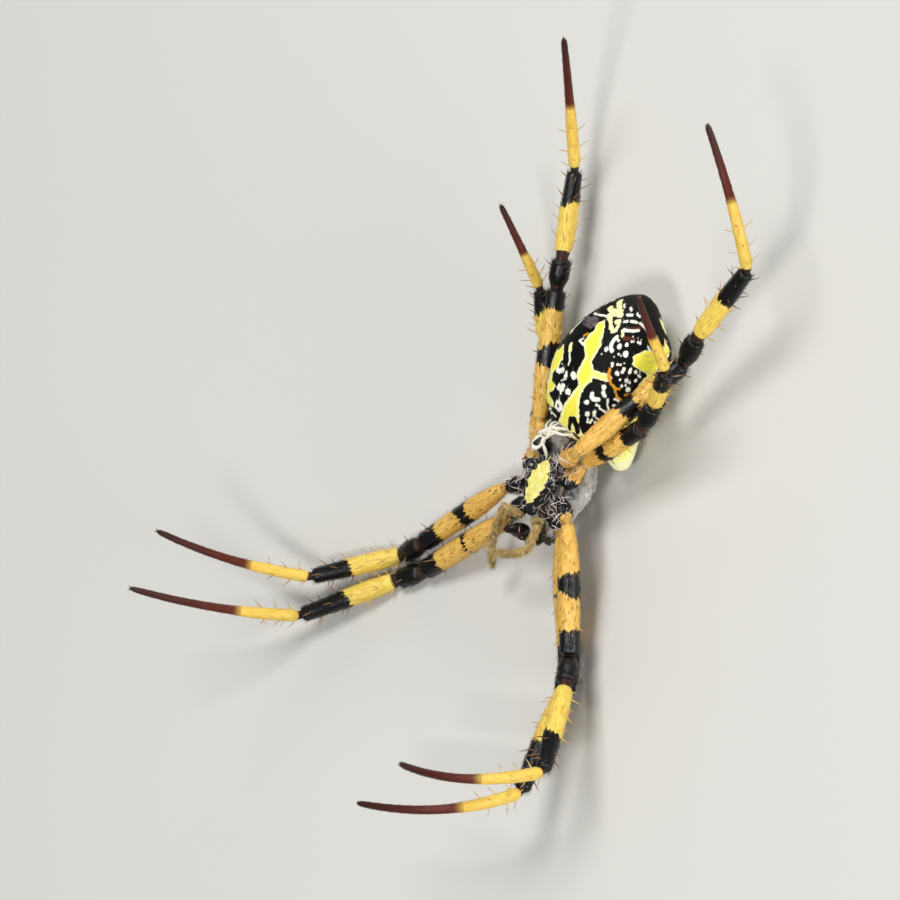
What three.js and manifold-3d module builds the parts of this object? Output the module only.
// Banded garden orb weaver (Argiope), adult female: a still, life-size model.
//
// The spider lies on its back on a level floor, with its legs held as they are when it
// hangs under a level web. Everything is built in the body's own frame: +X is the
// spider's right side, +Y its rear and +Z its belly side, and the origin is the middle
// of the sternum. One group then turns the body over on to the floor, where +Z is up.

import * as THREE from 'three';
import { mergeVertices } from 'three/addons/utils/BufferGeometryUtils.js';
import Module from 'manifold-3d';

// Driving dimensions, in millimetres and degrees.
const GAP = 0.3;
const CARAPACE = {
  length: 7.0, width: 6.4, height: 1.7, centreY: -1.05, rimZ: -1.95, headPinch: 0.43, headRise: 0.147,
};
const PROSOMA_CORE = { width: 2.6, length: 5.0, height: 1.7, centreY: -0.2, centreZ: -1.4 };
const STERNUM = { width: 3.4, length: 4.2, thickness: 0.52 };
const LABIUM = { width: 1.2, length: 1.0, y: -2.2, z: 0.02 };
const ABDOMEN = { length: 12.0, width: 8.8, height: 8.2, middleX: 0.72, frontY: 3.56, axisZ: -2.78 };
const SHOULDER = { reach: 2.1, drop: 0.75, spread: 0.5, along: 0.1, angle: 226 };
const LOBES = { swell: 0.38, angle: 205, count: 3 };
const PEDICEL = { radius: 0.55, z: -1.9, rear: [0.6, 4.4, -1.75] };
const EPIGYNE = { ring: [-0.2, 2.9, 1.35], foot: [0.3, 4.5, 0.1], radius: 0.5, tube: 0.24, tilt: -28 };
const SPINNERET = { along: 0.75, angle: 102, mound: 0.78, length: 0.7, radius: 0.26 };
const EYE_RADIUS = 0.2;
const CHELICERA = { x: 0.8, y: -4.2, top: -1.1, length: 1.6, radius: 0.62 };
const FANG = { length: 0.95, radius: 0.25 };
// Radius of a palp at each of its joints, and half way between them.
const PALP = { joints: [0.36, 0.3, 0.32, 0.3, 0.15], belly: 0.33 };

// Lengths of the segments of one leg of each pair, from the front pair to the rear pair.
// The foot is the metatarsus and the tarsus, which run on in one gentle curve.
const LEGS = [
  { coxaAngle: -50, girth: 1, femur: 10.4, patella: 2.7, tibia: 8.6, metatarsus: 4.9, tarsus: 8.9 },
  { coxaAngle: -20, girth: 0.98, femur: 10.2, patella: 2.65, tibia: 7.8, metatarsus: 4.8, tarsus: 8.2 },
  { coxaAngle: 6, girth: 0.88, femur: 6.9, patella: 2.1, tibia: 4.2, metatarsus: 2.9, tarsus: 4.5 },
  { coxaAngle: 58, girth: 0.96, femur: 10.6, patella: 2.45, tibia: 7.0, metatarsus: 5.2, tarsus: 6.7 },
];

// Start of each femur. The two sides differ, as each leg swings its coxa its own way.
const HIPS = {
  right: [[2.49, -3.05, -1.34], [3.71, -1.8, -0.24], [2.42, 2.36, -1.31], [4.05, 3.36, 1.76]],
  left: [[-2.53, -3.74, -0.68], [-3.65, -1.65, -0.46], [-3.19, 1.8, -1.56], [-3.16, 3.78, -1.1]],
};

// Radius of a leg segment near its start, at its belly and near its end, for a girth of 1.
const RADII = { femur: [0.55, 0.84, 0.76], patella: [0.72, 0.8, 0.74], tibia: [0.7, 0.75, 0.6] };

// Pose of each leg: heading and pitch of femur, patella, tibia, metatarsus and tarsus.
// Heading 0 points ahead and grows outwards; pitch is the rise towards the belly side.
const POSE = {
  right: [
    [[14, -16], [53, 36], [18, 25], [-19, 69], [-68, 19]],
    [[17, -10], [46, 29], [35, 28], [-41, 69], [-75, 5]],
    [[132, 6], [159, 11], [146, 30], [-169, 43], [170, 50]],
    [[159, -25], [156, 16], [152, 6], [-169, 34], [-135, 1]],
  ],
  left: [
    [[47, -4], [55, 4], [46, 23], [68, 66], [82, 54]],
    [[45, -3], [52, -12], [52, 27], [81, 56], [102, 63]],
    [[147, -21], [159, 13], [159, 14], [159, 40], [157, 39]],
    [[157, -8], [179, 10], [157, -9], [180, 30], [-166, 39]],
  ],
};

// Pedipalps, as the joints that each passes through: the right one reaches across the mouth.
const PALPS = {
  right: [[0.64, -3.0, -0.2], [1.95, -2.75, 0.8], [1.8, -5.0, 0.9], [0.6, -5.75, 1.1], [-1.4, -6.3, 1.1]],
  left: [[-0.64, -3.0, 0.0], [-1.95, -2.8, 1.0], [-2.2, -5.0, 0.7], [-2.6, -6.0, 0.2], [-2.7, -7.8, -0.8]],
};

// How the body lies on the floor: its back lowered at the rear and on the right side.
const REST = { pitch: 7.35, lean: -9.4, height: 5.37 };

// The stiff spines of the legs: tapered, sunk into the shaft and leaning towards its far end.
const SPINE = { sides: 5, rootRadius: 0.34, length: 1.65, sink: 0.32, lean: 48, clear: 0.45 };

// Rows of spines round each kind of segment, in degrees round the shaft, and their shares
// of its length, which are the same in every row but for a shift from row to row.
const SPINE_ROWS = {
  femur: { turns: [35, 155, 275], shares: [0.36, 0.72] },
  tibia: { turns: [10, 100, 190, 280], shares: [0.3, 0.68] },
  foot: { turns: [50, 170, 290], shares: [0.1, 0.26] },
};

// Number of sides and rings of the round forms.
const SIDES = { leg: 10, small: 8, trunk: 20, abdomen: 32 };

const COLOURS = {
  carapace: 0x9a9a90,
  sternum: 0xe8cf3a,
  abdomen: 0xe6c62e,
  coxa: 0x2a1d14,
  femur: 0xd9983f,
  patella: 0x120e0c,
  tibia: 0xf0c850,
  foot: 0x7a3516,
  palp: 0xa39a4c,
  chelicera: 0x1c1310,
  fang: 0x4a1a10,
  spinneret: 0x57404a,
  epigyne: 0xcfc5a6,
  eye: 0x080808,
};

// Roughness of the leg segments, from shiny to dull.
const SHINE = { coxa: 0.5, femur: 0.4, patella: 0.25, tibia: 0.4, foot: 0.35 };

const wasm = await Module();
wasm.setup();

// ---- Solids -------------------------------------------------------------------------

// The bare surface of a geometry: only positions, with the vertices of its seams merged.
function weld(geometry) {
  const bare = geometry.clone();
  bare.deleteAttribute('normal');
  bare.deleteAttribute('uv');
  return mergeVertices(bare, 1e-4);
}

// A closed manifold-3d solid of a geometry, without its collapsed triangles, facing out.
function solid(geometry) {
  const surface = weld(geometry);
  const corners = surface.index.array;
  const vertProperties = Float32Array.from(surface.attributes.position.array);
  const outwards = [];
  const inwards = [];
  for (let i = 0; i < corners.length; i += 3) {
    const [a, b, c] = corners.slice(i, i + 3);
    if (a !== b && b !== c && c !== a) {
      outwards.push(a, b, c);
      inwards.push(b, a, c);
    }
  }
  const build = (triangles) => {
    const triVerts = Uint32Array.from(triangles);
    return new wasm.Manifold(new wasm.Mesh({ numProp: 3, vertProperties, triVerts }));
  };
  const result = build(outwards);
  return result.volume() > 0 ? result : build(inwards);
}

// The largest closed body of a solid, as a three.js geometry.
function geometryOf(manifold) {
  const bodies = manifold.decompose().sort((a, b) => b.volume() - a.volume());
  const mesh = bodies[0].getMesh();
  const geometry = new THREE.BufferGeometry();
  geometry.setAttribute('position', new THREE.BufferAttribute(mesh.vertProperties, 3));
  geometry.setIndex(new THREE.BufferAttribute(mesh.triVerts, 1));
  return geometry;
}

// Moves every vertex of a welded geometry to the place that a function gives for it.
function reshape(geometry, place) {
  const surface = weld(geometry);
  const position = surface.attributes.position;
  const point = new THREE.Vector3();
  for (let i = 0; i < position.count; i += 1) {
    point.fromBufferAttribute(position, i);
    place(point);
    position.setXYZ(i, point.x, point.y, point.z);
  }
  return surface;
}

// A shaft turned on a lathe and laid along a curve. Stations are pairs of the share of
// the length and the radius there; the sideways axis stays fixed, so it never twists.
function limb(curve, stations, sides, sideways) {
  const length = curve.getLength();
  const profile = [
    new THREE.Vector2(0, 0),
    ...stations.map(([share, radius]) => new THREE.Vector2(radius, share * length)),
    new THREE.Vector2(0, length),
  ];
  const geometry = new THREE.LatheGeometry(profile, sides);
  return reshape(geometry, (point) => {
    const share = THREE.MathUtils.clamp(point.y / length, 0, 1);
    const centre = curve.getPointAt(share);
    const tangent = curve.getTangentAt(share);
    const outwards = new THREE.Vector3().crossVectors(sideways, tangent).normalize();
    const { x, z } = point;
    point.copy(centre).addScaledVector(sideways, x).addScaledVector(outwards, z);
  });
}

// Stations of a leg segment: a flat face at each joint, a rounded shoulder and a belly.
function segmentStations(length, [start, belly, end]) {
  const shoulder = 0.14 / length;
  const neck = 0.5 / length;
  return [
    [0, start * 0.24],
    [shoulder, start * 0.48],
    [neck, start],
    [0.32, belly],
    [0.62, belly * 0.98],
    [1 - neck, end],
    [1 - shoulder, end * 0.48],
    [1, end * 0.24],
  ];
}

// ---- Body ---------------------------------------------------------------------------

// A point of the carapace: along runs from -1 at the face to 1 at the rear, and angle
// turns from 0 at the right side over 90 degrees at the belly side.
function carapacePoint(along, angle, grow = 0) {
  const round = Math.sqrt(Math.max(0, 1 - along * along)) ** 0.75;
  const pinch = 1 - CARAPACE.headPinch * THREE.MathUtils.smoothstep(-along, -0.6, 0.5);
  const width = (CARAPACE.width / 2 + grow) * pinch;
  const head = 1 + CARAPACE.headRise * THREE.MathUtils.smoothstep(-along, 0.1, 0.9);
  const rise = Math.sin(angle) > 0 ? 0.16 + grow : CARAPACE.height * head + grow;
  const x = width * round * Math.cos(angle);
  const y = CARAPACE.centreY + (CARAPACE.length / 2 + grow) * along;
  const z = CARAPACE.rimZ + rise * round * Math.sin(angle);
  return new THREE.Vector3(x, y, z);
}

// A point of the abdomen: along runs from 0 at the pedicel to 1 at the tail tip.
function abdomenPoint(along, angle, grow = 0) {
  const bulge = Math.max(0, Math.sin(Math.PI * along ** 0.85));
  const taper = Math.max(along - 0.45, 0) / 0.55;
  const cosine = Math.cos(angle);
  const sine = Math.sin(angle);
  const isBack = sine < 0;
  const width = (ABDOMEN.width / 2 + grow) * bulge ** 0.55 * (1 - 0.12 * taper ** 2);
  const depth = (ABDOMEN.height / 2 + grow) * bulge ** 0.5 * (isBack ? 1 - 0.22 * taper ** 2 : 1);
  const axisZ = ABDOMEN.axisZ + 0.9 * (1 - along) ** 3 - 0.9 * along ** 4;
  const side = Math.sign(cosine) || 1;
  const degrees = THREE.MathUtils.radToDeg(Math.atan2(sine, -Math.abs(cosine)));
  const turned = degrees < 0 ? degrees + 360 : degrees;
  const nearLobe = Math.exp(-(((turned - LOBES.angle) / 28) ** 2));
  const lobe = LOBES.swell * nearLobe * Math.cos(2 * Math.PI * (along - 0.07) * LOBES.count) * bulge;
  const offShoulder = ((along - SHOULDER.along) / 0.11) ** 2 + ((turned - SHOULDER.angle) / 26) ** 2;
  const nearShoulder = Math.exp(-offShoulder) * THREE.MathUtils.smoothstep(bulge, 0, 0.3);
  const x = Math.sign(cosine) * width * Math.abs(cosine) ** 0.92 + lobe * cosine * 1.2;
  const z = Math.sign(sine) * depth * Math.abs(sine) ** 0.92 + lobe * sine;
  return new THREE.Vector3(
    ABDOMEN.middleX + x + SHOULDER.spread * nearShoulder * side,
    ABDOMEN.frontY - grow + (ABDOMEN.length + 2 * grow) * along - SHOULDER.reach * nearShoulder,
    axisZ + z - SHOULDER.drop * nearShoulder,
  );
}

function carapaceSolid(grow = 0) {
  const shell = reshape(new THREE.SphereGeometry(1, SIDES.trunk, SIDES.trunk - 6), (point) => {
    point.copy(carapacePoint(point.y, Math.atan2(point.z, point.x), grow));
  });
  const core = new THREE.SphereGeometry(1, 14, 10);
  core.scale(PROSOMA_CORE.width / 2 + grow, PROSOMA_CORE.length / 2 + grow, PROSOMA_CORE.height / 2 + grow);
  core.translate(0, PROSOMA_CORE.centreY, PROSOMA_CORE.centreZ);
  return solid(shell).add(solid(core));
}

function abdomenSolid(grow = 0) {
  const sack = reshape(new THREE.SphereGeometry(1, SIDES.abdomen, SIDES.abdomen - 8), (point) => {
    const along = THREE.MathUtils.clamp((1 + point.y) / 2, 0, 1);
    point.copy(abdomenPoint(along, Math.atan2(point.z, point.x), grow));
  });
  return solid(sack);
}

// The sternum: a shield that narrows to the rear, with the labium at its front edge.
function sternumSolid() {
  const plate = reshape(new THREE.SphereGeometry(1, SIDES.trunk - 4, 10), (point) => {
    const narrowing = 1 - 0.28 * THREE.MathUtils.smoothstep(point.y, 0.1, 1);
    const flat = Math.sign(point.z) * Math.abs(point.z) ** 0.8;
    point.set(
      point.x * (STERNUM.width / 2) * narrowing,
      point.y * (STERNUM.length / 2),
      (flat * STERNUM.thickness) / 2,
    );
  });
  const labium = new THREE.SphereGeometry(0.5, 10, 8);
  labium.scale(LABIUM.width, LABIUM.length, STERNUM.thickness);
  labium.translate(0, LABIUM.y, LABIUM.z);
  return solid(plate).add(solid(labium));
}

// The short waist between the carapace and the abdomen, cut clear of both.
function pedicelSolid() {
  const front = new THREE.Vector3(0, 1.6, PEDICEL.z);
  const rear = new THREE.Vector3(...PEDICEL.rear);
  const stations = [[0, PEDICEL.radius], [1, PEDICEL.radius]];
  const sideways = new THREE.Vector3(1, 0, 0);
  const waist = solid(limb(new THREE.LineCurve3(front, rear), stations, SIDES.small, sideways));
  return waist.subtract(carapaceSolid(GAP)).subtract(abdomenSolid(GAP));
}

// The epigyne: a ring that stands out from the front of the belly on a short stalk.
function epigyneSolid() {
  const centre = new THREE.Vector3(...EPIGYNE.ring);
  const ring = new THREE.TorusGeometry(EPIGYNE.radius, EPIGYNE.tube, SIDES.small, 14);
  ring.rotateX(THREE.MathUtils.degToRad(EPIGYNE.tilt));
  ring.translate(centre.x, centre.y, centre.z);
  const rearRim = centre.clone().add(new THREE.Vector3(0, EPIGYNE.radius, -EPIGYNE.tube));
  const stalk = new THREE.LineCurve3(new THREE.Vector3(...EPIGYNE.foot), rearRim);
  const stations = [[0, EPIGYNE.radius + EPIGYNE.tube], [0.6, EPIGYNE.radius], [1, EPIGYNE.tube]];
  const neck = solid(limb(stalk, stations, SIDES.small, new THREE.Vector3(1, 0, 0)));
  return solid(ring).add(neck).subtract(abdomenSolid(GAP));
}

// The spinnerets: a low mound with three pairs of small cones that lean together.
function spinneretSolid() {
  const seat = abdomenPoint(SPINNERET.along, THREE.MathUtils.degToRad(SPINNERET.angle));
  const { mound, radius, length } = SPINNERET;
  const base = new THREE.SphereGeometry(mound, 12, 8);
  base.translate(seat.x, seat.y, seat.z);
  let cluster = solid(base);
  const stations = [[0, radius], [0.7, radius * 0.9], [1, radius * 0.45]];
  for (const [lengthwise, spread] of [[-0.4, 0.32], [0.05, 0.28], [0.42, 0.3]]) {
    for (const side of [-1, 1]) {
      const root = new THREE.Vector3(seat.x + side * spread, seat.y + lengthwise, seat.z + mound * 0.5);
      const tip = root.clone().add(new THREE.Vector3(-side * spread * 0.4, lengthwise * -0.3 + 0.15, length));
      const cone = limb(new THREE.LineCurve3(root, tip), stations, 6, new THREE.Vector3(1, 0, 0));
      cluster = cluster.add(solid(cone));
    }
  }
  return cluster.subtract(abdomenSolid(GAP));
}

// The base of a mouthpart stands upright on the belly side of the face.
function cheliceraSolid(side) {
  const root = new THREE.Vector3(side * CHELICERA.x, CHELICERA.y, CHELICERA.top);
  const tip = root.clone().add(new THREE.Vector3(-side * 0.08, 0.05, CHELICERA.length));
  const shares = [[0, 0.7], [0.12, 0.95], [0.4, 1], [0.75, 0.85], [0.93, 0.65], [1, 0.4]];
  const stations = shares.map(([at, swell]) => [at, swell * CHELICERA.radius]);
  return solid(limb(new THREE.LineCurve3(root, tip), stations, SIDES.leg, new THREE.Vector3(1, 0, 0)));
}

function fangSolid(side) {
  const z = CHELICERA.top + CHELICERA.length + GAP + FANG.radius;
  const root = new THREE.Vector3(side * (CHELICERA.x + 0.05), CHELICERA.y - 0.1, z);
  const bend = new THREE.Vector3(side * 0.55, CHELICERA.y + 0.5, z + 0.15);
  const tip = new THREE.Vector3(side * 0.35, CHELICERA.y + FANG.length, z - 0.05);
  const curve = new THREE.QuadraticBezierCurve3(root, bend, tip);
  const stations = [[0, FANG.radius * 0.7], [0.12, FANG.radius], [0.6, FANG.radius * 0.8], [1, 0.08]];
  return solid(limb(curve, stations, SIDES.small, new THREE.Vector3(0, 0, 1)));
}

// A pedipalp: one stout shaft a joint, fused into one piece, ending in a blunt tip.
function palpSolid(joints) {
  const points = joints.map((joint) => new THREE.Vector3(...joint));
  const radii = PALP.joints;
  const root = new THREE.SphereGeometry(radii[0], SIDES.small, SIDES.small);
  let palp = solid(root.translate(...joints[0]));
  for (let i = 1; i < points.length; i += 1) {
    const curve = new THREE.LineCurve3(points[i - 1], points[i]);
    const sideways = new THREE.Vector3(0, 0, 1).cross(curve.getTangent(0)).normalize();
    const stations = [
      [0, radii[i - 1] * 0.6],
      [0.1, radii[i - 1] * 0.9],
      [0.5, PALP.belly],
      [0.9, radii[i]],
      [1, radii[i] * 0.6],
    ];
    palp = palp.add(solid(limb(curve, stations, SIDES.small, sideways)));
  }
  return palp;
}

// ---- Assembly -----------------------------------------------------------------------

const spider = new THREE.Group();
const body = new THREE.Group();
body.rotation.set(THREE.MathUtils.degToRad(REST.pitch), THREE.MathUtils.degToRad(REST.lean), 0);
body.position.z = REST.height;
spider.add(body);

function addMesh(parent, name, manifold, colour, roughness = 0.5) {
  const material = new THREE.MeshStandardMaterial({ color: colour, roughness, metalness: 0 });
  const mesh = new THREE.Mesh(geometryOf(manifold), material);
  mesh.name = name;
  parent.add(mesh);
  return mesh;
}

// The eight eyes as places on the carapace: share along it and angle from the mid line.
const EYES = {
  anterior_median: { along: -0.975, turn: 24 },
  posterior_median: { along: -0.9, turn: 17 },
  anterior_lateral: { along: -0.955, turn: 62 },
  posterior_lateral: { along: -0.885, turn: 55 },
};

function eyePlace(eye, side) {
  const place = carapacePoint(eye.along, THREE.MathUtils.degToRad(-90 + side * eye.turn));
  const inside = new THREE.Vector3(0, place.y + 1.4, CARAPACE.rimZ - 0.4);
  return place.addScaledVector(place.clone().sub(inside).normalize(), 0.08);
}

let carapace = carapaceSolid();
for (const [name, eye] of Object.entries(EYES)) {
  for (const [sideName, side] of [['right', 1], ['left', -1]]) {
    const place = eyePlace(eye, side);
    const ball = new THREE.SphereGeometry(EYE_RADIUS, SIDES.small, 6);
    const socket = new THREE.SphereGeometry(EYE_RADIUS + GAP / 2, SIDES.small, 6);
    ball.translate(place.x, place.y, place.z);
    socket.translate(place.x, place.y, place.z);
    carapace = carapace.subtract(solid(socket));
    addMesh(body, `eye_${name}_${sideName}`, solid(ball), COLOURS.eye, 0.1);
  }
}
addMesh(body, 'carapace', carapace, COLOURS.carapace, 0.8);
addMesh(body, 'sternum', sternumSolid(), COLOURS.sternum);
addMesh(body, 'pedicel', pedicelSolid(), COLOURS.coxa);
addMesh(body, 'abdomen', abdomenSolid(), COLOURS.abdomen);
addMesh(body, 'epigyne', epigyneSolid(), COLOURS.epigyne);
addMesh(body, 'spinnerets', spinneretSolid(), COLOURS.spinneret);

// Direction of a leg segment, from its heading and pitch in degrees.
function direction([heading, pitch], side) {
  const turn = THREE.MathUtils.degToRad(heading);
  const rise = THREE.MathUtils.degToRad(pitch);
  const reach = Math.cos(rise);
  return new THREE.Vector3(side * Math.sin(turn) * reach, -Math.cos(turn) * reach, Math.sin(rise));
}

// One straight segment between two joints, short of each by half the gap.
function straightShaft(from, to, radii) {
  const along = to.clone().sub(from).normalize();
  const curve = new THREE.LineCurve3(
    from.clone().addScaledVector(along, GAP / 2),
    to.clone().addScaledVector(along, -GAP / 2),
  );
  const sideways = new THREE.Vector3(0, 0, 1).cross(along).normalize();
  return { curve, stations: segmentStations(curve.getLength(), radii), sideways };
}

// The coxa and trochanter: from the edge of the sternum to the femur.
function coxaShaft(coxaAngle, hip, side) {
  const angle = THREE.MathUtils.degToRad(coxaAngle);
  const root = new THREE.Vector3(
    side * (STERNUM.width / 2 + GAP) * Math.cos(angle),
    (STERNUM.length / 2 + GAP) * Math.sin(angle),
    -0.55,
  );
  const along = hip.clone().sub(root).normalize();
  const curve = new THREE.LineCurve3(root, hip.clone().addScaledVector(along, -GAP * 0.6));
  const stations = [
    [0, 0.3], [0.06, 0.42], [0.25, 0.58], [0.45, 0.7], [0.6, 0.66],
    [0.72, 0.5], [0.82, 0.55], [0.92, 0.46], [1, 0.2],
  ];
  const sideways = new THREE.Vector3(0, 0, 1).cross(along).normalize();
  return { curve, stations, sideways };
}

// The metatarsus and tarsus: one bent shaft through its own joint, tapering to the claws.
function footShaft(from, middle, tip, girth) {
  const whole = from.distanceTo(middle) + middle.distanceTo(tip);
  const share = from.distanceTo(middle) / whole;
  const bend = middle.clone()
    .addScaledVector(from, -((1 - share) ** 2))
    .addScaledVector(tip, -(share ** 2))
    .divideScalar(2 * share * (1 - share));
  const start = from.clone().addScaledVector(bend.clone().sub(from).normalize(), GAP / 2);
  const curve = new THREE.QuadraticBezierCurve3(start, bend, tip);
  const sideways = bend.clone().sub(start).cross(tip.clone().sub(bend)).normalize();
  const length = curve.getLength();
  const stations = [
    [0, 0.2], [0.15 / length, 0.38], [0.5 / length, 0.48], [0.16, 0.46], [0.34, 0.43],
    [0.48, 0.36], [0.64, 0.32], [0.8, 0.29], [0.93, 0.26], [0.985, 0.2], [1, 0.1],
  ].map(([at, radius]) => [at, radius * girth]);
  return { curve, stations, sideways };
}

// The shafts of one leg, each with the name of its node, its curve and its stations.
function legShafts(number, sideName, side) {
  const leg = LEGS[number];
  const joints = [new THREE.Vector3(...HIPS[sideName][number])];
  const lengths = [leg.femur, leg.patella, leg.tibia, leg.metatarsus, leg.tarsus];
  lengths.forEach((length, i) => {
    joints.push(joints[i].clone().addScaledVector(direction(POSE[sideName][number][i], side), length));
  });
  const [hip, knee, shin, ankle, middle, tip] = joints;
  const segment = (from, to, radii) => straightShaft(from, to, radii.map((radius) => radius * leg.girth));
  const shafts = {
    coxa: coxaShaft(leg.coxaAngle, hip, side),
    femur: segment(hip, knee, RADII.femur),
    patella: segment(knee, shin, RADII.patella),
    tibia: segment(shin, ankle, RADII.tibia),
    foot: footShaft(ankle, middle, tip, leg.girth),
  };
  const prefix = `leg_${number + 1}_${sideName}`;
  return Object.entries(shafts).map(([part, shaft]) => ({ ...shaft, part, name: `${prefix}_${part}` }));
}

// Radius of a shaft at a share of its length.
function radiusAt(stations, share) {
  const next = stations.findIndex(([at]) => at >= share);
  if (next <= 0) return stations[0][1];
  const [before, startRadius] = stations[next - 1];
  const [after, endRadius] = stations[next];
  return startRadius + ((endRadius - startRadius) * (share - before)) / (after - before);
}

// The points that a spine keeps clear of, each with the radius of the form round it.
function obstaclesOf(shafts) {
  const obstacles = [];
  for (const { name, curve, stations } of shafts) {
    const count = 2 * Math.ceil(curve.getLength());
    for (let i = 0; i <= count; i += 1) {
      obstacles.push({ name, point: curve.getPointAt(i / count), radius: radiusAt(stations, i / count) });
    }
  }
  for (let along = 0; along <= 1; along += 1 / 16) {
    for (let turn = 0; turn < 360; turn += 12) {
      const point = abdomenPoint(along, THREE.MathUtils.degToRad(turn));
      obstacles.push({ name: 'abdomen', point, radius: 0.5 });
    }
  }
  return obstacles;
}

// A repeatable draw between -1 and 1.
let seed = 7;
function draw() {
  seed = (seed * 16807) % 2147483647;
  return (2 * seed) / 2147483647 - 1;
}

// The spines of one shaft that are clear of the floor and of every other form.
function spineSolids(shaft, obstacles, heightOf) {
  const rows = SPINE_ROWS[shaft.part];
  if (!rows) return [];
  const spines = [];
  rows.turns.forEach((rowTurn, row) => {
    for (const rowShare of rows.shares) {
      const share = rowShare + 0.05 * (row % 3) + 0.02 * draw();
      const turn = THREE.MathUtils.degToRad(rowTurn + 14 * draw());
      const length = SPINE.length * (1 + 0.15 * draw());
      const tangent = shaft.curve.getTangentAt(share);
      const outwards = shaft.sideways.clone().applyAxisAngle(tangent, turn);
      const root = shaft.curve.getPointAt(share);
      root.addScaledVector(outwards, radiusAt(shaft.stations, share) - SPINE.sink);
      const lean = THREE.MathUtils.degToRad(SPINE.lean);
      const axis = outwards.multiplyScalar(Math.cos(lean)).addScaledVector(tangent, Math.sin(lean));
      const middle = root.clone().addScaledVector(axis, length * 0.6);
      const tip = root.clone().addScaledVector(axis, length);
      const isClear = (point) => heightOf(point) > GAP && obstacles.every((obstacle) => (
        obstacle.name === shaft.name
        || obstacle.point.distanceTo(point) > obstacle.radius + SPINE.clear
      ));
      if (isClear(middle) && isClear(tip)) {
        const cone = new THREE.ConeGeometry(SPINE.rootRadius, length, SPINE.sides);
        cone.translate(0, length / 2, 0);
        cone.applyQuaternion(new THREE.Quaternion().setFromUnitVectors(new THREE.Vector3(0, 1, 0), axis));
        spines.push(solid(cone.translate(root.x, root.y, root.z)));
        obstacles.push({ name: `${shaft.name}_spine`, point: tip, radius: 0 });
      }
    }
  });
  return spines;
}

const SIDE_SIGNS = { right: 1, left: -1 };
for (const [sideName, side] of Object.entries(SIDE_SIGNS)) {
  addMesh(body, `chelicera_${sideName}`, cheliceraSolid(side), COLOURS.chelicera, 0.25);
  addMesh(body, `fang_${sideName}`, fangSolid(side), COLOURS.fang, 0.2);
  addMesh(body, `palp_${sideName}`, palpSolid(PALPS[sideName]), COLOURS.palp, 0.8);
}

spider.updateMatrixWorld(true);
const shafts = Object.entries(SIDE_SIGNS).flatMap(([sideName, side]) => (
  LEGS.flatMap((leg, number) => legShafts(number, sideName, side))
));
const obstacles = obstaclesOf(shafts);
const heightOf = (point) => point.clone().applyMatrix4(body.matrixWorld).z;
for (const shaft of shafts) {
  let segment = solid(limb(shaft.curve, shaft.stations, SIDES.leg, shaft.sideways));
  for (const spine of spineSolids(shaft, obstacles, heightOf)) segment = segment.add(spine);
  addMesh(body, shaft.name, segment, COLOURS[shaft.part], SHINE[shaft.part]);
}

// Every mesh that reaches the floor gets a small flat at floor level.
spider.updateMatrixWorld(true);
const ground = { size: 200, depth: 20 };
for (const mesh of body.children) {
  const box = new THREE.Box3().setFromObject(mesh, true);
  if (box.min.z < 0) {
    const slab = new THREE.BoxGeometry(ground.size, ground.size, ground.depth);
    slab.translate(0, 0, -ground.depth / 2).applyMatrix4(mesh.matrixWorld.clone().invert());
    mesh.geometry = geometryOf(solid(mesh.geometry).subtract(solid(slab)));
  }
}

// The origin is the middle of the model's footprint, at floor level.
const bounds = new THREE.Box3().setFromObject(spider, true);
body.position.x -= (bounds.min.x + bounds.max.x) / 2;
body.position.y -= (bounds.min.y + bounds.max.y) / 2;

export default spider;
